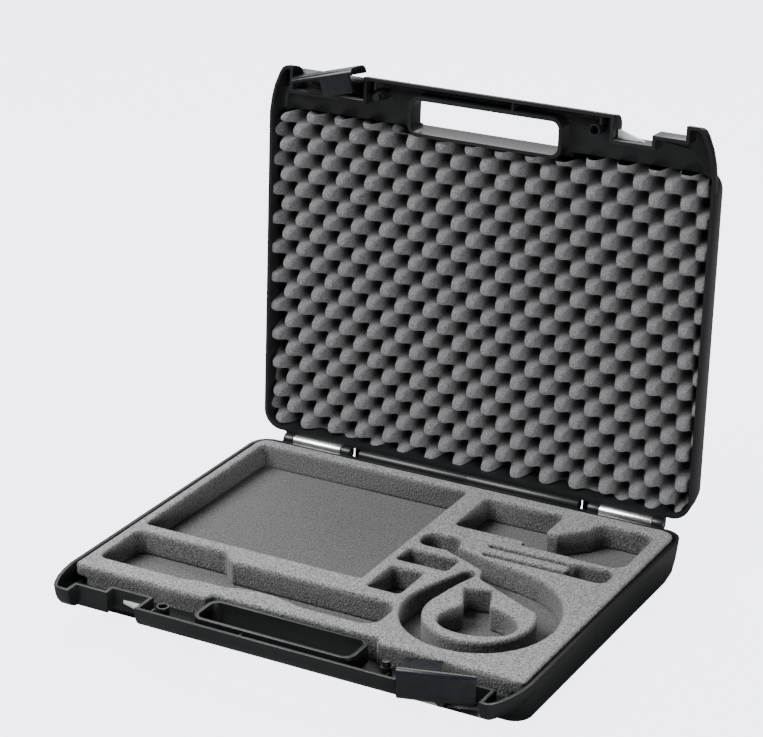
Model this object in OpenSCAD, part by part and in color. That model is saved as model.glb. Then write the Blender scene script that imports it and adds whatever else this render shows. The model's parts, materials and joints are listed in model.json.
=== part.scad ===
// Foam-lined carrying case: two identical moulded shells on one hinge axis,
// die-cut foam in the base, egg-crate foam in the lid, one rocker latch on each shell.
// Millimetres. The origin is the middle of the base's flat bottom, +Z up, handle at -Y.

/* [Shells] */
// Outside width of the case at the rim
case_w = 440; // [425:1:460]
// Depth of the deep, foam-filled part of each shell
body_d = 310; // [308:1:314]
// Depth of the shallow zone in front that holds the handle and the latches
front_d = 45; // [44:1:48]
// Height of each shell, from its flat bottom to the parting plane
shell_h = 44; // [40:1:56]
// Thickness of the moulded walls
wall = 3; // [2.6:0.1:3.2]
// Height of the shallow front zone
front_h = 19; // [18:0.5:21]
// Rear corner radius of the rim
corner_r = 18.5; // [14:0.5:19]

/* [Lid] */
// Angle at which the open lid rests on its stops
lid_open_deg = 93.4; // [91:0.2:96]
// Distance of the hinge axis behind the rear rim
hinge_back = 7.2; // [6.8:0.1:9]

/* [Handle] */
// Width of the hand hole
hole_w = 145; // [110:1:150]
// Depth of the hand hole from front to back
hole_d = 30; // [26:1:30]

/* [Latches] */
// Distance of each latch pivot from the middle of the case
latch_x = 160; // [156:1:162]
// Angle at which the open latch rests, away from its closed place
latch_open_deg = 15.5; // [12:0.5:15.5]
// Diameter of the latch pins
latch_pin_d = 3; // [2.4:0.1:3]

/* [Hinges] */
// Outside diameter of the hinge barrels and knuckles
barrel_d = 10; // [9:0.5:10]
// Diameter of the hinge pins
hinge_pin_d = 4; // [3:0.1:5]
// Length of each aluminium barrel
barrel_len = 51; // [40:1:51]

/* [Foam] */
// Height that the base foam stands above the parting plane
foam_proud = 1.9; // [0:0.1:2.2]
// Thickness of the die-cut layer, which is the depth of its pockets
pocket_depth = 24; // [18:1:26]
// Distance between neighbouring noses of the egg-crate foam across the case
nose_pitch_x = 29.6; // [26:0.2:34]
// Distance between neighbouring noses of the egg-crate foam from front to back
nose_pitch_y = 28.4; // [26:0.2:34]
// Height of the egg-crate noses above their pits
nose_h = 19; // [12:1:22]

/* [Hidden] */
$fn = 48;
eps = 0.01;
run_gap = 0.05;              // radial clearance of every pin in its bore
seam_gap = 0.1;              // each rim stops this far short of the parting plane

half_w = case_w / 2;
rear_y = body_d / 2;
front_y = -body_d / 2 - front_d;
axis_y = rear_y + hinge_back;
floor_z = front_h - wall;    // depth of the front zone's floor below the parting plane

// hand hole, rounded rectangle
hole_x = hole_w / 2;
hole_y1 = -body_d / 2 - 1;
hole_y0 = hole_y1 - hole_d;
hole_r = 7;
tunnel = 3.5;                // wall around the hand hole

// latch and notch places, all measured from the middle or the front of the case
notch_depth = 22;            // depth of every cut-out from the front edge
notch_y = front_y + notch_depth;
latch_y = front_y + 6;       // pivot
latch_r = latch_pin_d / 2;
latch_top = 15;              // the latch reaches this far above the parting plane
latch_bottom = -12;
latch_left = latch_x - 35;
latch_right = latch_x + 29;
notch_left = latch_x - 38;
notch_right = latch_x + 36;
lip_depth = 4.5;             // lip at the half of the latch that is pressed
hook_left = latch_x - 32;
hook_right = latch_x - 1;
tab_y = front_y + 12.6;      // edge of the tab that the other shell's latch swings in to

// hinge hardware along X
barrel_x0 = 134;
barrel_x1 = barrel_x0 + barrel_len;
knuckle_len = 10.4;
knuckle_gap = 0.3;
stop_len = 9.4;
rail_end = barrel_x0 - 2 * knuckle_gap - knuckle_len - stop_len - 0.4;
pad_x = barrel_x1 + knuckle_gap + knuckle_len;
pad_t = hinge_back - barrel_d / 2 - 0.3;

BLACK = [0.07, 0.075, 0.08];
LATCH_BLACK = [0.05, 0.06, 0.08];
FOAM_GREY = [0.42, 0.42, 0.43];
FOAM_DARK = [0.3, 0.3, 0.31];
LIGHT_GREY = [0.8, 0.82, 0.82];
ALUMINIUM = [0.85, 0.86, 0.87];
STEEL = [0.6, 0.6, 0.62];

// ---------- helpers ----------

// points along an arc, ends included
function arc(c, r, a0, a1, n) =
    [for (i = [0:n]) let (a = a0 + (a1 - a0) * i / n) [c[0] + r * cos(a), c[1] + r * sin(a)]];

// points along a quadratic curve, ends included
function bend(a, b, c, n) =
    [for (i = [0:n]) let (t = i / n) a * (1 - t) * (1 - t) + b * 2 * t * (1 - t) + c * t * t];

// the same without its last point, to run on into the next curve
function curve(a, b, c, n) = [for (i = [0:n - 1]) bend(a, b, c, n)[i]];

// rectangle with round corners
module round_rect(x0, y0, x1, y1, r) {
    translate([x0 + r, y0]) square([x1 - x0 - 2 * r, y1 - y0]);
    translate([x0, y0 + r]) square([x1 - x0, y1 - y0 - 2 * r]);
    for (x = [x0 + r, x1 - r], y = [y0 + r, y1 - r]) translate([x, y]) circle(r);
}

// the same as one polygon, for the pockets and blocks of foam
module soft_rect(x0, y0, x1, y1, r) {
    polygon(concat(
        arc([x1 - r, y1 - r], r, 0, 90, 6),
        arc([x0 + r, y1 - r], r, 90, 180, 6),
        arc([x0 + r, y0 + r], r, 180, 270, 6),
        arc([x1 - r, y0 + r], r, 270, 360, 6)
    ));
}

// box from two corners
module box(a, b) {
    translate(a) cube(b - a);
}

// cylinder along X
module rod_x(x0, x1, y, z, r) {
    translate([x0, y, z]) rotate([0, 90, 0]) cylinder(h = x1 - x0, r = r);
}

// puts a shell-shaped part, drawn as the base, where the closed lid has it
module turned_over() {
    translate([0, 0, shell_h]) rotate([0, 180, 0]) translate([0, 0, -shell_h]) children();
}

// puts a part of the lid, drawn as if in the base, where the open lid has it
module in_lid() {
    translate([0, axis_y, shell_h]) rotate([-lid_open_deg, 0, 0])
        translate([0, -axis_y, -shell_h]) turned_over() children();
}

// turns a part about the latch pivot from its closed place to its open rest
module latch_opened() {
    translate([latch_x, latch_y, 0]) rotate(latch_open_deg)
        translate([-latch_x, -latch_y, 0]) children();
}

// ---------- shell outlines ----------

// outline of the whole rim, tapered at its two front corners
module rim_plan() {
    r = corner_r;
    taper = [
        [half_w, -body_d / 2], [half_w - 2, -body_d / 2 - 14], [half_w - 5, -body_d / 2 - 26],
        [half_w - 10, -body_d / 2 - 38], [half_w - 13, front_y + 2.4], [half_w - 17, front_y]
    ];
    polygon(concat(
        arc([half_w - r, rear_y - r], r, 90, 0, 8),
        taper,
        [for (i = [5:-1:0]) [-taper[i][0], taper[i][1]]],
        arc([-half_w + r, rear_y - r], r, 180, 90, 8)
    ));
}

// outline of the deep part at one level, pulled in at its sides and at its front
module deep_plan(inset, front_inset) {
    round_rect(-half_w + inset, -body_d / 2 - 5.5 + inset + front_inset,
        half_w - inset, rear_y - inset, corner_r - inset / 3);
}

// deep, drafted part with a rounded bottom edge. Level: depth, side inset, extra front inset
module deep_solid(inset, rise = eps) {
    top = shell_h;
    levels = [[0, 0, 0], [19, 2, -2], [top - 13, 4.2, -1.8], [top - 4, 8.4, 0.5], [top, 16, 3]];
    hull() {
        for (l = levels) {
            z = max(top - l[0], inset);
            h = l[0] == 0 ? rise : eps;
            translate([0, 0, z]) linear_extrude(h, $fn = 32) deep_plan(l[1] + inset, l[2]);
        }
    }
}

// shallow part that carries the rim and the front zone, with a rounded front edge
module tray_solid(inset, rise = eps) {
    levels = [[0, 0], [8, 1], [13, 2.4], [16.5, 5], [front_h, 10]];
    hull() {
        for (l = levels) {
            z = shell_h - min(l[0], front_h - inset);
            h = l[0] == 0 ? rise : eps;
            translate([0, 0, z]) linear_extrude(h) offset(delta = -l[1] - inset) rim_plan();
        }
    }
}

// all cut-outs of the front edge: the latch's own on +X, the other latch's on -X
module front_cuts() {
    far = front_y - 20;
    translate([notch_left, far]) square([notch_right - notch_left, notch_y - far]);
    translate([-latch_x - 0.3, far]) square([36.3, notch_y - far]);
    translate([-latch_x - 31, far]) square([31, tab_y - far]);
}

// outline of the rim with the cut-outs taken away, pulled in by inset
module notched_plan(inset) {
    offset(delta = -inset) difference() {
        rim_plan();
        front_cuts();
    }
}

// floor left under the latch in its own notch
module notch_floor() {
    box([notch_left - 0.5, front_y - 1, 0], [notch_right + 0.5, notch_y + 0.5, shell_h - 15.8]);
}

// hand hole outline, grown by grow
module hole_plan(grow) {
    round_rect(-hole_x - grow, hole_y0 - grow, hole_x + grow, hole_y1 + grow, hole_r + grow);
}

// ---------- shell details ----------

// knuckle of one hinge: barrel, arm to the rear wall, and the stop lug beside it
module knuckle(x0, x1) {
    r = barrel_d / 2;
    rod_x(x0, x1, axis_y, shell_h, r);
    box([x0, rear_y - wall + 0.4, shell_h - r], [x1, axis_y, shell_h - 1]);
}

// half of the rail that closes the gap between the two hinges, on the other side of the middle
// from the other shell's half
module hinge_rail() {
    knuckle(-rail_end, -knuckle_gap / 2);
}

// pad along the rear wall, which closes the gap behind the barrels
module rear_pad() {
    y = rear_y;
    top = shell_h - seam_gap;
    translate([-pad_x, 0, 0]) rotate([90, 0, 90]) linear_extrude(2 * pad_x) polygon([
        [y - 1, top], [y - 1, top - 6], [y, top - 6], [y + pad_t, top - 4.2], [y + pad_t, top]
    ]);
}

// lug that the other shell's rear wall lands on when the case is fully open
module stop_lug(x0, x1) {
    reach = barrel_d / 2 + 1.2;
    box([x0, rear_y - wall + 0.4, shell_h - 13], [x1, axis_y + reach + 4, shell_h - reach - 1]);
    box([x0, axis_y + reach, shell_h - 13], [x1, axis_y + reach + 4, shell_h + hinge_back - 1]);
}

// ear that holds one end of the latch pin
module latch_ear(z0, z1) {
    translate([latch_x, latch_y, z0]) cylinder(h = z1 - z0, r = 3.1);
    box([latch_x - 3.1, latch_y, z0], [latch_x + 3.1, notch_y + 1, z1]);
}

// round boss that takes the other shell's locating peg
module peg_socket() {
    translate([-106, hole_y0 + 2, shell_h - floor_z - 1]) difference() {
        cylinder(h = floor_z + 0.5, r = 5.5);
        translate([0, 0, 4]) cylinder(h = floor_z, r = 4);
    }
}

// locating peg, standing above the parting plane
module peg() {
    translate([106, hole_y0 + 2, shell_h - floor_z - 1]) {
        cylinder(h = floor_z + 1, r = 4.6);
        cylinder(h = floor_z + 6, r = 3.5);
    }
}

// stiffening ribs on the floor of the front zone
module front_ribs() {
    low = shell_h - front_h;
    intersection() {
        tray_solid(wall / 2);
        union() {
            box([-27, front_y, low], [-25, hole_y0 - tunnel + 0.5, shell_h - 3]);
            box([-112, front_y, low], [-110, hole_y0 - 3, shell_h - 2]);
            box([110, front_y, low], [112, hole_y0 - 3, shell_h - 2]);
            for (s = [0, 2.6]) {
                translate([-latch_x - 29, tab_y + 7.4 + s, low]) rotate(-7)
                    cube([27, 0.9, wall + 2]);
            }
        }
    }
}

// one shell, drawn as the base
module half_shell() {
    recess = hole_x + tunnel + 1;
    difference() {
        union() {
            difference() {
                deep_solid(0);
                box([-recess, front_y, -1], [recess, hole_y1, shell_h + 1]);
            }
            intersection() {
                tray_solid(0);
                union() {
                    linear_extrude(shell_h + 1) notched_plan(0);
                    notch_floor();
                }
            }
            hinge_rail();
            rear_pad();
            knuckle(barrel_x0 - knuckle_gap - knuckle_len, barrel_x0 - knuckle_gap);
            knuckle(-barrel_x1 - knuckle_gap - knuckle_len, -barrel_x1 - knuckle_gap);
            stop_lug(barrel_x0 - 2 * knuckle_gap - knuckle_len - stop_len,
                barrel_x0 - 2 * knuckle_gap - knuckle_len + 0.5);
        }
        // foam space
        difference() {
            deep_solid(wall, 9);
            box([-recess - wall, front_y, -1], [recess + wall, hole_y1 + wall, shell_h + 20]);
        }
        // front zone space
        difference() {
            intersection() {
                tray_solid(wall, 9);
                linear_extrude(shell_h + 20) notched_plan(wall);
                box([-half_w, front_y, shell_h - floor_z], [half_w, -body_d / 2 + 20, shell_h + 9]);
            }
            translate([0, 0, shell_h - front_h]) linear_extrude(front_h) hole_plan(tunnel);
        }
        // hand hole
        translate([0, 0, -1]) linear_extrude(shell_h + 2) hole_plan(0);
        // flat rim just under the parting plane, clear of the knuckles
        box([-half_w - 1, front_y - 1, shell_h - seam_gap], [half_w + 1, rear_y + 1, shell_h + 20]);
        // hinge pin bores
        rod_x(-half_w, half_w, axis_y, shell_h, hinge_pin_d / 2 + run_gap);
        // slot for the keeper's tongue
        box([-latch_x + 15, notch_y - 1, shell_h - 12.1],
            [-latch_x + 31, notch_y + wall + 1, shell_h - 8.3]);
    }
    difference() {
        union() {
            latch_ear(shell_h - 15.4, shell_h - 12.6);
            latch_ear(shell_h - 3.2, shell_h - 0.6);
        }
        translate([latch_x, latch_y, 0]) cylinder(h = shell_h + 1, r = latch_r + run_gap);
    }
    peg_socket();
    peg();
    front_ribs();
}

module base_shell() {
    color(BLACK) half_shell();
}

module lid_shell() {
    color(BLACK) in_lid() half_shell();
}

// ---------- foam ----------

foam_side = half_w - 5.8;
foam_front = -body_d / 2 - 1.5;
foam_rear = rear_y - 5.8;
pocket_origin = rear_y - 4.8;
relief_x = hole_x + tunnel + wall + 1.5;

// outline of the foam sheets, with room for the wall of the hand hole
module foam_plan(front_r, rear_r, trim = 0) {
    side = foam_side - trim;
    front = foam_front + trim / 2;
    difference() {
        union() {
            soft_rect(-side, front, side, foam_rear - trim, rear_r);
            soft_rect(-side, front, side, 0, front_r);
        }
        translate([-relief_x, foam_front - 5]) square([2 * relief_x, 13.5]);
    }
}

foam_top = shell_h + foam_proud;
pocket_floor = foam_top - pocket_depth;
front_ledge = 11;            // the foam's sharper upper corners reach this far down

// pockets, measured from the middle of the case and from pocket_origin
module tray_pocket() {
    soft_rect(-205, -212, 13, -13, 3);
}

module body_pocket() {
    soft_rect(35, -80, 112, -16, 4);
    soft_rect(104, -88, 150, -55, 2);
    soft_rect(145, -90, 200, -15, 12);
    polygon([[124, -80], [124, -52], [150, -24], [160, -17], [160, -85]]);
}

module twin_slots() {
    soft_rect(80, -105.6, 172, -100.4, 2.5);
    soft_rect(82, -121.6, 163, -116.4, 2.5);
    soft_rect(160, -122, 198, -96.5, 7);
}

// closed curve of the cable channel: outer side first, then back along its inner side
module ring_channel() {
    c = [131, -222];
    polygon(concat(
        [[53, -116], [88, -127], [106, -131], [125, -134]],
        bend([146, -140], [190, -160], [197, -213], 8),
        arc(c, 66, 0, -190, 20),
        bend([70, -196], [76, -178], [83, -161], 3),
        arc([89.4, -160], 6.4, 165, 0, 5),
        bend([95.6, -163], [88, -182], [85.5, -207], 4),
        arc(c, 48, 163, 392, 20),
        [[163, -193]],
        bend([104, -164], [99, -160], [98, -149], 3),
        [[84, -142], [53, -129]]
    ));
    soft_rect(22, -129, 57, -102, 11);
}

// slanted stem and rounded cap
module headset_pocket() {
    polygon(concat(
        [[98.5, -185.5], [99.5, -183], [119, -177.8], [121.5, -178.6]],
        curve([132, -205], [150, -205], [163, -218], 4),
        curve([163, -218], [176, -232], [164, -246], 5),
        curve([164, -246], [146, -260], [124, -258], 5),
        curve([124, -258], [100, -254], [103, -232], 5),
        [[103, -232], [111, -212]]
    ));
}

module small_pockets() {
    soft_rect(22, -165, 71, -140, 2.5);
    soft_rect(25, -222, 56, -177, 2.5);
}

module long_pocket() {
    soft_rect(-204, -286, -108, -225, 8);
    polygon([[-114, -284], [-114, -226], [-98, -239], [-90, -239], [-90, -281]]);
    polygon(concat([[-98, -238], [-98, -282]], bend([-80, -282], [-43, -268], [-5, -282], 6),
        [[40, -282], [40, -238]]));
    soft_rect(-10, -282, 65, -238, 15);
}

module die_cut_foam() {
    color(FOAM_GREY) difference() {
        union() {
            translate([0, 0, pocket_floor]) linear_extrude(pocket_depth) foam_plan(20, 19, 0.8);
            translate([0, 0, shell_h - front_ledge])
                linear_extrude(foam_proud + front_ledge) foam_plan(1, 13);
        }
        translate([0, pocket_origin, pocket_floor - 1]) linear_extrude(pocket_depth + 2) {
            tray_pocket();
            body_pocket();
            twin_slots();
            ring_channel();
            headset_pocket();
            small_pockets();
            long_pocket();
        }
    }
}

module foam_floor_sheet() {
    color(FOAM_DARK) intersection() {
        deep_solid(wall + 0.3);
        translate([0, 0, wall + 0.3]) linear_extrude(pocket_floor - wall - 0.3) foam_plan(20, 20);
    }
}

// height of the egg-crate surface below the parting plane at a point of the lid
nose_depth = foam_proud + 0.7;
lattice_turn = 3;
function crate_depth(x, y) =
    let (
        u = (x + 134) * cos(lattice_turn) + (y + 141) * sin(lattice_turn),
        v = -(x + 134) * sin(lattice_turn) + (y + 141) * cos(lattice_turn)
    )
    nose_depth + nose_h * (1 + cos(360 * u / nose_pitch_x) * cos(360 * v / nose_pitch_y)) / 2;

// egg-crate sheet, as wide as the drafted walls allow, with round corners
crate_side = half_w - wall - 0.4;
crate_rear = rear_y - wall - 0.4;
crate_draft = 0.11;
crate_corner = corner_r - 1.5;

// front edge of the sheet, stepped back behind the hand hole
function crate_front(x) =
    -body_d / 2 + 4.2 - 6 * min(1, max(0, (abs(x) - relief_x - 8) / 4));

// pulls a point near a corner in towards the corner's centre
function rounded(x, y) =
    let (
        cx = crate_side - crate_corner,
        cy = y > 0 ? crate_rear - crate_corner : crate_front(x) + crate_corner,
        a = max(0, abs(x) - cx),
        b = max(0, y > 0 ? y - cy : cy - y),
        k = 0.3 * a * b / pow(crate_corner, 2)
    )
    [x - sign(x) * a * k, y - (y > 0 ? 1 : -1) * b * k];

// surface point: u runs from -1 to 1 across the lid, v from 0 at the front to 1 at the rear
function crate_point(u, v) =
    let (
        x = crate_side * u,
        y = crate_front(x) * (1 - v) + crate_rear * v,
        d = crate_depth(x, y),
        p = rounded(x, y)
    )
    [p[0] * (1 - crate_draft * d / crate_side), p[1] - crate_draft * d * v, shell_h - d];

module crate_sheet() {
    nx = 58;
    ny = 42;
    back_z = wall + 0.4;
    pts = [for (j = [0:ny], i = [0:nx]) crate_point(-1 + 2 * i / nx, j / ny)];
    row = nx + 1;
    last = row * (ny + 1);
    // rim points of the back, in step with the rim points of the surface
    rim = concat(
        [for (i = [0:nx - 1]) i],
        [for (j = [0:ny - 1]) j * row + nx],
        [for (i = [nx:-1:1]) ny * row + i],
        [for (j = [ny:-1:1]) j * row]
    );
    m = len(rim);
    low = [for (k = rim) let (p = pts[k])
        [p[0] * 0.925, p[1] * (p[1] > 0 ? 0.915 : 0.9), back_z]];
    middle = last + m;
    polyhedron(
        points = concat(pts, low, [[0, 0, back_z]]),
        faces = concat(
            [for (j = [0:ny - 1], i = [0:nx - 1]) let (a = j * row + i) [a, a + row, a + row + 1]],
            [for (j = [0:ny - 1], i = [0:nx - 1]) let (a = j * row + i) [a, a + row + 1, a + 1]],
            [for (k = [0:m - 1]) [rim[k], rim[(k + 1) % m], last + (k + 1) % m]],
            [for (k = [0:m - 1]) [rim[k], last + (k + 1) % m, last + k]],
            [for (k = [0:m - 1]) [last + k, last + (k + 1) % m, middle]]
        )
    );
}

module convoluted_foam() {
    color(FOAM_GREY) in_lid() crate_sheet();
}

// ---------- latches and keepers ----------

// section of the latch plate across the case: [y, z] from the front edge, curled in at both ends
module latch_section(top_depth) {
    t = 2.5;
    y = front_y;
    polygon(concat(
        [[y + top_depth, latch_top]],
        arc([y + 4, latch_top - 4], 4, 90, 180, 5),
        arc([y + 9, latch_bottom + 7], 9, 180, 235, 6),
        [[y + 8, latch_bottom], [y + 8, latch_bottom + 2]],
        arc([y + 9, latch_bottom + 7], 9 - t, 228, 180, 5),
        arc([y + 4, latch_top - 4], 4 - t, 180, 90, 4),
        [[y + top_depth, latch_top - t]]
    ));
}

// extrudes a [y, z] section from x0 to x1 at the height of the parting plane
module along_x(x0, x1) {
    translate([x0, 0, shell_h]) rotate([90, 0, 90]) linear_extrude(x1 - x0) children();
}

// rocker latch in its closed place on the base
module closed_latch() {
    difference() {
        union() {
            along_x(latch_left, hook_left) latch_section(6);
            along_x(hook_left, hook_right) latch_section(notch_depth - 0.5);
            along_x(hook_right, latch_right) latch_section(lip_depth);
            translate([latch_x, latch_y, shell_h - 12.2]) cylinder(h = 8.8, r = 3.4);
            box([latch_x - 3.4, front_y + 1.5, shell_h - 12.2], [latch_x + 3.4, latch_y, shell_h - 3.4]);
        }
        translate([latch_x, latch_y, 0]) cylinder(h = shell_h + 1, r = latch_r + run_gap);
        // room for the ear above the curled lower edge
        box([latch_x - 4, latch_y - 3.4, shell_h - 3.4], [latch_x + 4, latch_y + 4, shell_h]);
    }
}

module base_latch() {
    color(LATCH_BLACK) latch_opened() closed_latch();
}

module lid_latch() {
    color(LATCH_BLACK) in_lid() latch_opened() closed_latch();
}

module latch_pin() {
    translate([latch_x, latch_y, shell_h - 15.4]) cylinder(h = 14.8, r = latch_r);
}

module base_latch_pin() {
    color(STEEL) latch_pin();
}

module lid_latch_pin() {
    color(STEEL) in_lid() latch_pin();
}

// wedge with a tongue that goes through the wall behind the notch
module keeper() {
    translate([0, 0, shell_h - 12]) linear_extrude(3.6) {
        x = -latch_x;
        polygon([
            [x + 35, notch_y - 0.1], [x + 35, notch_y - 8], [x + 10, notch_y - 0.1],
            [x + 15.1, notch_y - 0.1], [x + 15.1, notch_y + wall + 1],
            [x + 30.9, notch_y + wall + 1], [x + 30.9, notch_y - 0.1]
        ]);
    }
}

module base_keeper() {
    color(LIGHT_GREY) keeper();
}

module lid_keeper() {
    color(LIGHT_GREY) in_lid() keeper();
}

// ---------- hinges ----------

// pin and barrel of the hinge on one side
module hinge_pin(side) {
    reach = knuckle_gap + knuckle_len;
    x0 = side > 0 ? barrel_x0 - reach : -barrel_x1 - reach;
    rod_x(x0, x0 + barrel_len + 2 * reach, axis_y, shell_h, hinge_pin_d / 2);
}

module hinge_sleeve(side) {
    x0 = side > 0 ? barrel_x0 : -barrel_x1;
    difference() {
        rod_x(x0, x0 + barrel_len, axis_y, shell_h, barrel_d / 2);
        rod_x(x0 - 1, x0 + barrel_len + 1, axis_y, shell_h, hinge_pin_d / 2 + run_gap);
    }
}

module left_hinge_pin() {
    color(STEEL) hinge_pin(-1);
}

module right_hinge_pin() {
    color(STEEL) hinge_pin(1);
}

module left_hinge_sleeve() {
    color(ALUMINIUM) hinge_sleeve(-1);
}

module right_hinge_sleeve() {
    color(ALUMINIUM) hinge_sleeve(1);
}

base_shell();
lid_shell();
die_cut_foam();
foam_floor_sheet();
convoluted_foam();
base_latch();
lid_latch();
base_latch_pin();
lid_latch_pin();
base_keeper();
lid_keeper();
left_hinge_pin();
right_hinge_pin();
left_hinge_sleeve();
right_hinge_sleeve();
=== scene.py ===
"""Looks of the foam-lined carrying case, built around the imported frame. Everything is in metres."""

import json
import math

import bmesh
import bpy
import numpy as np
from mathutils import Matrix, Vector, noise


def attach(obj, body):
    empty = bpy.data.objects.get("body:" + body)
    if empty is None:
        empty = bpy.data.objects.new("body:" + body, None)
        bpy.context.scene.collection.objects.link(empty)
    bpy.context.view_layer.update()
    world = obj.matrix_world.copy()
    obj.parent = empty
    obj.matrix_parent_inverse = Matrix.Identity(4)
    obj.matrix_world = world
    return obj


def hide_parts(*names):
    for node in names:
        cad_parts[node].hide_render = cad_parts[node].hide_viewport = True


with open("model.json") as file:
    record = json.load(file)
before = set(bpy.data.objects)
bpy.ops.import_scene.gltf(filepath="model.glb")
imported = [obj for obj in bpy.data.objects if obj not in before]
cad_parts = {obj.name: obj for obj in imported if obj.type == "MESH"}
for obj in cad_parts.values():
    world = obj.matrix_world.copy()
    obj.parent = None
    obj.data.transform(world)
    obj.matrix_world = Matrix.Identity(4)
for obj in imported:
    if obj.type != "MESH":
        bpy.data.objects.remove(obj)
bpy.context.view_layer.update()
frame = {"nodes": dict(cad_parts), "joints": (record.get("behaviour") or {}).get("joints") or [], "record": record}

MM = 0.001
nodes = frame["nodes"]
joints = {joint["name"]: joint for joint in frame["joints"]}
HINGE = Vector(joints["lid_hinge"]["pos_m"])
LID_OPEN = math.radians(max(joints["lid_hinge"]["range_deg"]))

# the lid's own frame: as it lies when the case is shut, turned about the hinge to its open rest
OPEN_LID = (
    Matrix.Translation(HINGE)
    @ Matrix.Rotation(-LID_OPEN, 4, "X")
    @ Matrix.Translation(-HINGE)
)


# ---------- materials ----------

SHUT_LID = OPEN_LID.inverted()

# heights in the shut case between which each foam's painted shade goes from its full brightness to its deep shade
CRATE_SHADE_LEVELS = (0.0466, 0.0666)
POCKET_SHADE_LEVELS = (0.0459, 0.0219)


class Finish:
    """A material made of nodes. Each call adds a node, and place() gives its texture coordinate."""

    def __init__(self, name):
        self.material = bpy.data.materials.new(name)
        self.material.use_nodes = True
        self.tree = self.material.node_tree
        self.shader = self.tree.nodes["Principled BSDF"]

    def set(self, **sockets):
        for name, value in sockets.items():
            self.shader.inputs[name.replace("_", " ")].default_value = value

    def node(self, kind, **values):
        made = self.tree.nodes.new(kind)
        for name, value in values.items():
            setattr(made, name, value)
        return made

    def link(self, a, b):
        self.tree.links.new(a, b)

    def place(self, stretch=(1, 1, 1)):
        where = self.node("ShaderNodeTexCoord")
        scaled = self.node("ShaderNodeMapping")
        scaled.inputs["Scale"].default_value = stretch
        self.link(where.outputs["Object"], scaled.inputs["Vector"])
        return scaled.outputs["Vector"]

    def noise(self, scale, detail=2.0, rough=0.5, stretch=(1, 1, 1)):
        made = self.node("ShaderNodeTexNoise")
        made.inputs["Scale"].default_value = scale
        made.inputs["Detail"].default_value = detail
        made.inputs["Roughness"].default_value = rough
        self.link(self.place(stretch), made.inputs["Vector"])
        return made.outputs["Fac"]

    def cells(self, scale):
        made = self.node("ShaderNodeTexVoronoi", feature="F1")
        made.inputs["Scale"].default_value = scale
        self.link(self.place(), made.inputs["Vector"])
        return made.outputs["Distance"]

    def ramp(self, value, stops):
        made = self.node("ShaderNodeValToRGB")
        points = made.color_ramp.elements
        while len(points) < len(stops):
            points.new(0.5)
        for point, (at, level) in zip(points, stops):
            point.position = at
            colour = level if isinstance(level, tuple) else (level, level, level)
            point.color = (*colour, 1)
        self.link(value, made.inputs["Fac"])
        return made.outputs["Color"]

    def math(self, kind, a, b):
        made = self.node("ShaderNodeMath", operation=kind)
        for socket, value in zip(made.inputs, (a, b)):
            if isinstance(value, (int, float)):
                socket.default_value = value
            else:
                self.link(value, socket)
        return made.outputs[0]

    def multiply(self, a, b, share):
        made = self.node("ShaderNodeMix", data_type="RGBA", blend_type="MULTIPLY")
        made.inputs["Factor"].default_value = share
        self.link(a, made.inputs["A"])
        self.link(b, made.inputs["B"])
        return made.outputs["Result"]

    def bump(self, height, strength, distance):
        made = self.node("ShaderNodeBump")
        made.inputs["Strength"].default_value = strength
        made.inputs["Distance"].default_value = distance
        self.link(height, made.inputs["Height"])
        self.link(made.outputs["Normal"], self.shader.inputs["Normal"])


def shell_plastic():
    """Black polypropylene with the fine spark-eroded grain of the mould."""
    f = Finish("shell_plastic")
    grain = f.noise(1400, 3.0, 0.6)
    dark, light = (0.0065, 0.007, 0.0075), (0.010, 0.011, 0.0115)
    tone = f.ramp(f.noise(18, 3.0), [(0.3, dark), (0.7, light)])
    f.link(tone, f.shader.inputs["Base Color"])
    f.link(f.ramp(grain, [(0.3, 0.3), (0.7, 0.42)]), f.shader.inputs["Roughness"])
    f.bump(grain, 0.16, 0.0003)
    f.set(Specular_IOR_Level=0.5)
    return f.material


def latch_plastic():
    """Smooth glossy black plastic, with faint wear."""
    f = Finish("latch_plastic")
    wear = f.noise(120, 4.0, 0.65)
    tone = f.ramp(wear, [(0.3, (0.005, 0.006, 0.008)), (0.75, (0.009, 0.011, 0.016))])
    f.link(tone, f.shader.inputs["Base Color"])
    f.link(f.ramp(wear, [(0.35, 0.26), (0.75, 0.36)]), f.shader.inputs["Roughness"])
    f.bump(f.noise(500, 2.0), 0.04, 0.0002)
    return f.material


def painted_depth_shade(f, shade_levels, row, shades):
    """Paint that darkens foam with depth, from its full tone at the first level. The levels and shades are chosen.
    """
    # painted shade: the foam is darkened by its height in its own frame, in place of the shade in its pits and
    # pockets
    where = f.node("ShaderNodeTexCoord")
    height = f.node("ShaderNodeVectorMath", operation="DOT_PRODUCT")
    f.link(where.outputs["Object"], height.inputs[0])
    height.inputs[1].default_value = row[:3]
    above = f.math("ADD", height.outputs["Value"], row[3] - shade_levels[0])
    return f.ramp(f.math("DIVIDE", above, shade_levels[1] - shade_levels[0]), shades)


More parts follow.
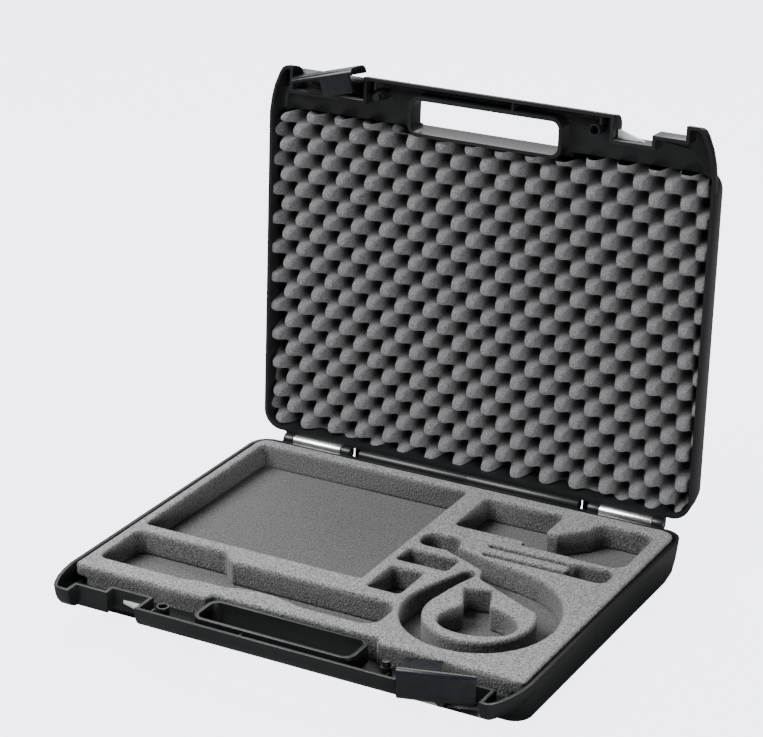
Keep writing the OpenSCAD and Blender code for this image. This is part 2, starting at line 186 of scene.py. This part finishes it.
def foam(name, dark, light, cell, contrast, bump, shade_levels, row, shades):
    """Open-cell foam: a sponge of small cells, some catching the light, and painted shade that darkens it with
    depth.
    """
    f = Finish(name)
    pores = f.cells(cell)
    grain = f.noise(cell * 1.3, 3.0, 0.7)
    middle = tuple((a + b) / 2 for a, b in zip(dark, light))
    speck = f.ramp(grain, [(0.5 - contrast, dark), (0.5, middle), (0.5 + contrast, light)])
    shade = f.ramp(pores, [(0.0, 0.55), (0.45, 1.0)])
    patch = f.ramp(f.noise(28, 3.0), [(0.3, 0.9), (0.7, 1.0)])
    colour = f.multiply(f.multiply(speck, shade, 0.6), patch, 0.8)
    # painted shade: darker with depth below the foam's top
    colour = f.multiply(colour, painted_depth_shade(f, shade_levels, row, shades), 1.0)
    f.link(colour, f.shader.inputs["Base Color"])
    height = f.math("ADD", pores, f.math("MULTIPLY", grain, 0.7))
    f.bump(height, bump, 0.0008)
    f.set(Roughness=0.95, Specular_IOR_Level=0.15, Sheen_Weight=0.25, Sheen_Roughness=0.6)
    return f.material


def aluminium():
    """Bright drawn tube: fine lines along the hinge axis."""
    f = Finish("hinge_aluminium")
    lines = f.noise(2600, 2.0, 0.6, stretch=(0.02, 1, 1))
    tone = f.ramp(lines, [(0.3, (0.82, 0.83, 0.84)), (0.7, (0.93, 0.935, 0.94))])
    f.link(tone, f.shader.inputs["Base Color"])
    f.link(f.ramp(lines, [(0.3, 0.22), (0.7, 0.34)]), f.shader.inputs["Roughness"])
    f.bump(lines, 0.08, 0.0001)
    f.set(Metallic=1.0)
    return f.material


def steel():
    """Drawn steel wire, duller than the aluminium."""
    f = Finish("pin_steel")
    lines = f.noise(1800, 3.0)
    tone = f.ramp(lines, [(0.3, (0.5, 0.5, 0.51)), (0.7, (0.62, 0.62, 0.63))])
    f.link(tone, f.shader.inputs["Base Color"])
    f.link(f.ramp(lines, [(0.3, 0.25), (0.7, 0.4)]), f.shader.inputs["Roughness"])
    f.set(Metallic=1.0)
    return f.material


def keeper_plastic():
    """Pale grey and slightly cloudy."""
    f = Finish("keeper_plastic")
    cloud = f.noise(160, 3.0)
    tone = f.ramp(cloud, [(0.3, (0.58, 0.61, 0.61)), (0.7, (0.68, 0.71, 0.71))])
    f.link(tone, f.shader.inputs["Base Color"])
    f.link(f.ramp(cloud, [(0.3, 0.3), (0.7, 0.42)]), f.shader.inputs["Roughness"])
    f.bump(f.noise(900, 2.0), 0.05, 0.0002)
    return f.material


FINISHES = {
    "shell_plastic": shell_plastic(),
    "latch_plastic": latch_plastic(),
    # each foam ends with the heights and the stops of its painted shade, darker with depth
    "base_foam": foam(
        "base_foam", (0.05, 0.049, 0.049), (0.5, 0.5, 0.515), 560, 0.14, 0.85,
        POCKET_SHADE_LEVELS, (0, 0, 1, 0), [(0.0, 1.0), (0.06, 0.72), (0.24, 0.36), (1.0, 0.42)],
    ),
    "lid_foam": foam(
        "lid_foam", (0.05, 0.05, 0.053), (0.31, 0.31, 0.325), 700, 0.2, 0.6,
        CRATE_SHADE_LEVELS, tuple(SHUT_LID[2]), [(0.0, 1.0), (0.35, 0.8), (0.75, 0.12), (1.0, 0.06)],
    ),
    "hinge_aluminium": aluminium(),
    "pin_steel": steel(),
    "keeper_plastic": keeper_plastic(),
}
SLOT_OF = {s["node"]: s["material_slot"] for s in frame["record"]["subparts"]}
BODY_OF = {n: body for body, names in frame["record"]["behaviour"]["bodies"].items() for n in names}


# ---------- mesh helpers ----------


def add_mesh(name, mesh):
    made = bpy.data.objects.new(name, mesh)
    bpy.context.scene.collection.objects.link(made)
    return made


def copy_node(node, name):
    """A new piece with a welded copy of a CAD node's mesh. The node itself is left as it is."""
    mesh = nodes[node].data.copy()
    mesh.name = name
    work = bmesh.new()
    work.from_mesh(mesh)
    bmesh.ops.remove_doubles(work, verts=work.verts, dist=0.5e-6)
    work.to_mesh(mesh)
    work.free()
    mesh.materials.clear()
    return add_mesh(name, mesh)


def apply_modifiers(piece):
    """Bakes the piece's modifiers into its mesh."""
    graph = bpy.context.evaluated_depsgraph_get()
    mesh = bpy.data.meshes.new_from_object(piece.evaluated_get(graph))
    piece.modifiers.clear()
    piece.data = mesh


def stand_for(piece, *names):
    """The piece takes the place, the body and the finish of these CAD nodes."""
    piece.data.materials.clear()
    piece.data.materials.append(FINISHES[SLOT_OF[names[0]]])
    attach(piece, BODY_OF[names[0]])
    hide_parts(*names)
    return piece


# ---------- moulded and turned pieces ----------


def rounded_copy(node, name, width):
    """A moulded piece: its flat faces joined up, its sharp edges rounded, and smooth shading."""
    piece = copy_node(node, name)
    work = bmesh.new()
    work.from_mesh(piece.data)
    bmesh.ops.dissolve_limit(
        work,
        angle_limit=math.radians(0.6),
        verts=work.verts,
        edges=work.edges,
        delimit={"NORMAL"},
    )
    work.to_mesh(piece.data)
    work.free()
    bevel = piece.modifiers.new("edges", "BEVEL")
    bevel.width = width
    bevel.segments = 3
    bevel.limit_method = "ANGLE"
    bevel.angle_limit = math.radians(40)
    bevel.use_clamp_overlap = True
    bevel.harden_normals = False
    apply_modifiers(piece)
    shade_smooth(piece, 35)
    return stand_for(piece, node)


def shade_smooth(piece, angle_deg):
    """Smooth shading that stays sharp where faces meet at more than the angle."""
    mesh = piece.data
    mesh.shade_smooth()
    mesh.set_sharp_from_angle(angle=math.radians(angle_deg))


# CAD node, name of its visual piece, edge radius in millimetres
HARD_PIECES = [
    ("base_shell", "base_shell_moulding", 0.45),
    ("lid_shell", "lid_shell_moulding", 0.45),
    ("base_latch", "base_latch_rocker", 0.3),
    ("lid_latch", "lid_latch_rocker", 0.3),
    ("base_keeper", "base_keeper_wedge", 0.3),
    ("lid_keeper", "lid_keeper_wedge", 0.3),
    ("left_hinge_sleeve", "left_hinge_barrel", 0.3),
    ("right_hinge_sleeve", "right_hinge_barrel", 0.3),
    ("left_hinge_pin", "left_hinge_rod", 0.3),
    ("right_hinge_pin", "right_hinge_rod", 0.3),
    ("base_latch_pin", "base_latch_rod", 0.2),
    ("lid_latch_pin", "lid_latch_rod", 0.2),
]
for hard_node, hard_name, radius in HARD_PIECES:
    rounded_copy(hard_node, hard_name, radius * MM)


# ---------- foam in the base ----------


def soft_block(node, name, voxel, rounds, roughness):
    """Cut foam: remeshed evenly, its edges softened, and its faces a little uneven."""
    piece = copy_node(node, name)
    remesh = piece.modifiers.new("even", "REMESH")
    remesh.mode = "VOXEL"
    remesh.voxel_size = voxel
    apply_modifiers(piece)
    soften = piece.modifiers.new("soft", "SMOOTH")
    soften.factor = 0.5
    soften.iterations = rounds
    apply_modifiers(piece)
    mesh = piece.data
    count = len(mesh.vertices)
    co = np.empty(count * 3)
    no = np.empty(count * 3)
    mesh.vertices.foreach_get("co", co)
    mesh.vertices.foreach_get("normal", no)
    co = co.reshape(-1, 3)
    no = no.reshape(-1, 3)
    wave = np.array([noise.noise(Vector(p) * 90) + 0.6 * noise.noise(Vector(p) * 320) for p in co])
    co += no * (wave * roughness - roughness)[:, None]
    mesh.vertices.foreach_set("co", co.ravel())
    mesh.update()
    mesh.shade_smooth()
    stand_for(piece, node)
    return piece


soft_block("die_cut_foam", "die_cut_foam_layer", 1.6 * MM, 7, 0.12 * MM)
soft_block("foam_floor_sheet", "foam_floor_layer", 3.0 * MM, 2, 0.1 * MM)


# ---------- egg-crate foam in the lid ----------

NOSE_PITCH_ACROSS = 29.6 * MM
NOSE_PITCH_DEEP = 28.4 * MM
NOSE_TURN = math.radians(-3)
NOSE_ORIGIN = (134 * MM, -141 * MM)
NOSE_HEIGHT = 20 * MM
CRATE_STEP = 1.5 * MM
CRATE_CORNER = 17 * MM  # reach of the drawn-in corners
CRATE_CORNER_PULL = 0.3
CRATE_DRAFT = 0.11  # sides lean in by this share of the depth
HANDLE_HALF_WIDTH = 90 * MM  # the front edge steps back behind the handle
HANDLE_STEP = 6 * MM
HANDLE_STEP_RAMP = 6 * MM
BACK_TAPER = 0.92
BACK_GAP = 0.2 * MM


def crate_rise(x, y):
    """Height of the foam, 0 in a pit and 1 on a nose, at points of the shut lid."""
    dx, dy = x - NOSE_ORIGIN[0], y - NOSE_ORIGIN[1]
    u = dx * math.cos(NOSE_TURN) + dy * math.sin(NOSE_TURN)
    v = dy * math.cos(NOSE_TURN) - dx * math.sin(NOSE_TURN)
    turn = 2 * math.pi
    wave = np.cos(turn * u / NOSE_PITCH_ACROSS) * np.cos(turn * v / NOSE_PITCH_DEEP)
    pit = 0.5 + 0.5 * wave
    pit = pit * pit * (3 - 2 * pit)
    return 1 - pit * pit * (3 - 2 * pit)


def crate_grid(low, high):
    """Points of the sheet's face in the shut lid, drawn in at its corners and behind the handle."""
    nx = round((high[0] - low[0]) / CRATE_STEP)
    ny = round((high[1] - low[1]) / CRATE_STEP)
    u, v = np.meshgrid(np.linspace(-1, 1, nx + 1), np.linspace(0, 1, ny + 1))
    side = high[0]
    x = u * side
    step_in = np.clip((np.abs(x) - HANDLE_HALF_WIDTH) / HANDLE_STEP_RAMP, 0, 1)
    front = low[1] + HANDLE_STEP * (1 - step_in)
    y = front * (1 - v) + high[1] * v
    over_x = np.clip(np.abs(x) - (side - CRATE_CORNER), 0, None)
    over_y = np.where(v > 0.5, y - (high[1] - CRATE_CORNER), front + CRATE_CORNER - y).clip(0)
    draw_in = CRATE_CORNER_PULL * over_x * over_y / CRATE_CORNER**2
    depth = NOSE_HEIGHT * (1 - crate_rise(x, y))
    fx = x - np.sign(x) * (over_x * draw_in + CRATE_DRAFT * depth * np.abs(u))
    fy = y - np.where(v > 0.5, 1, -1) * over_y * draw_in - CRATE_DRAFT * depth * v
    fz = low[2] + depth
    return np.stack([fx, fy, fz], -1)


def closed_sheet(name, face, back_z, taper):
    """A grid of points as a closed solid: the face, its four sides and a flat back."""
    rows, columns = face.shape[:2]
    index = np.arange(rows * columns).reshape(rows, columns)
    faces = [
        (index[j, i], index[j + 1, i], index[j + 1, i + 1], index[j, i + 1])
        for j in range(rows - 1)
        for i in range(columns - 1)
    ]
    rim = [*index[0, :-1], *index[:-1, -1], *index[-1, :0:-1], *index[:0:-1, 0]]
    points = face.reshape(-1, 3)
    back = points[rim].copy()
    back[:, :2] *= taper
    back[:, 2] = back_z
    first, count = len(points), len(rim)
    for k in range(count):
        n = (k + 1) % count
        faces.append((rim[k], rim[n], first + n, first + k))
    faces.append(tuple(first + k for k in reversed(range(count))))
    mesh = bpy.data.meshes.new(name)
    corners = [OPEN_LID @ Vector(p) for p in [*points, *back]]
    mesh.from_pydata([tuple(c) for c in corners], [], [tuple(int(k) for k in f) for f in faces])
    work = bmesh.new()
    work.from_mesh(mesh)
    bmesh.ops.recalc_face_normals(work, faces=work.faces)
    work.to_mesh(mesh)
    work.free()
    return mesh


def crate_foam():
    shut = np.array([SHUT_LID @ v.co for v in nodes["convoluted_foam"].data.vertices])
    low, high = shut.min(0), shut.max(0)
    face = crate_grid(low, high)
    mesh = closed_sheet("egg_crate_foam", face, high[2] - BACK_GAP, BACK_TAPER)
    piece = add_mesh("egg_crate_foam", mesh)
    shade_smooth(piece, 60)
    stand_for(piece, "convoluted_foam")


crate_foam()


# ---------- stage, light and camera ----------


def add_floor():
    mesh = bpy.data.meshes.new("floor")
    half = 6.0
    z = -0.2 * MM
    corners = [(-half, -half, z), (half, -half, z), (half, half, z), (-half, half, z)]
    mesh.from_pydata(corners, [], [(0, 1, 2, 3)])
    floor = add_mesh("floor", mesh)
    paint = Finish("floor_paint")
    paint.set(Base_Color=(0.2, 0.2, 0.205, 1), Roughness=0.9, Specular_IOR_Level=0.1)
    paint.set(Emission_Color=(0.87, 0.875, 1.0, 1), Emission_Strength=4.6)
    mesh.materials.append(paint.material)
    # the floor glows like a backdrop with its own lights, and that glow doesn't light the case
    alone = bpy.data.collections.new("backdrop")
    alone.objects.link(floor)
    floor.light_linking.receiver_collection = alone


def add_area_light(name, place, target, size, power):
    light = bpy.data.lights.new(name, "AREA")
    light.shape = "RECTANGLE"
    light.size, light.size_y = size
    light.energy = power
    lamp = bpy.data.objects.new(name, light)
    lamp.location = place
    lamp.rotation_euler = (Vector(target) - Vector(place)).to_track_quat("-Z", "Y").to_euler()
    bpy.context.scene.collection.objects.link(lamp)


def add_world():
    world = bpy.data.worlds.new("studio")
    bpy.context.scene.world = world
    world.use_nodes = True
    background = world.node_tree.nodes["Background"]
    background.inputs["Color"].default_value = (0.93, 0.93, 0.96, 1)
    background.inputs["Strength"].default_value = 0.1


def add_camera():
    """The view of the photograph: a long lens, from the front and a little to the right."""
    camera = bpy.data.cameras.new("camera")
    camera.lens = 119.84
    camera.sensor_width = 36
    camera.shift_x = -0.0194
    camera.shift_y = -0.0463
    camera.clip_end = 50
    lens = bpy.data.objects.new("camera", camera)
    lens.location = HINGE + Vector((0.96503, -1.90292, 0.97668))
    lens.rotation_euler = (math.radians(68.687), math.radians(-0.229), math.radians(28.765))
    bpy.context.scene.collection.objects.link(lens)
    bpy.context.scene.camera = lens


# name, place, target, width and height, watts
LIGHTS = [
    ("key", (-1.2, -0.9, 1.9), (0, 0, 0.1), (1.4, 1.4), 85),
    ("top", (-0.35, 0.95, 1.5), (0, -0.1, 0.1), (1.5, 1.0), 32),
    ("back", (-1.0, 2.1, 1.0), (0, 0.15, 0.3), (2.0, 1.2), 7),
    ("side", (1.7, -1.5, 0.25), (0.1, -0.1, 0.05), (0.9, 0.5), 38),
]

add_floor()
add_world()
for light in LIGHTS:
    add_area_light(*light)
add_camera()
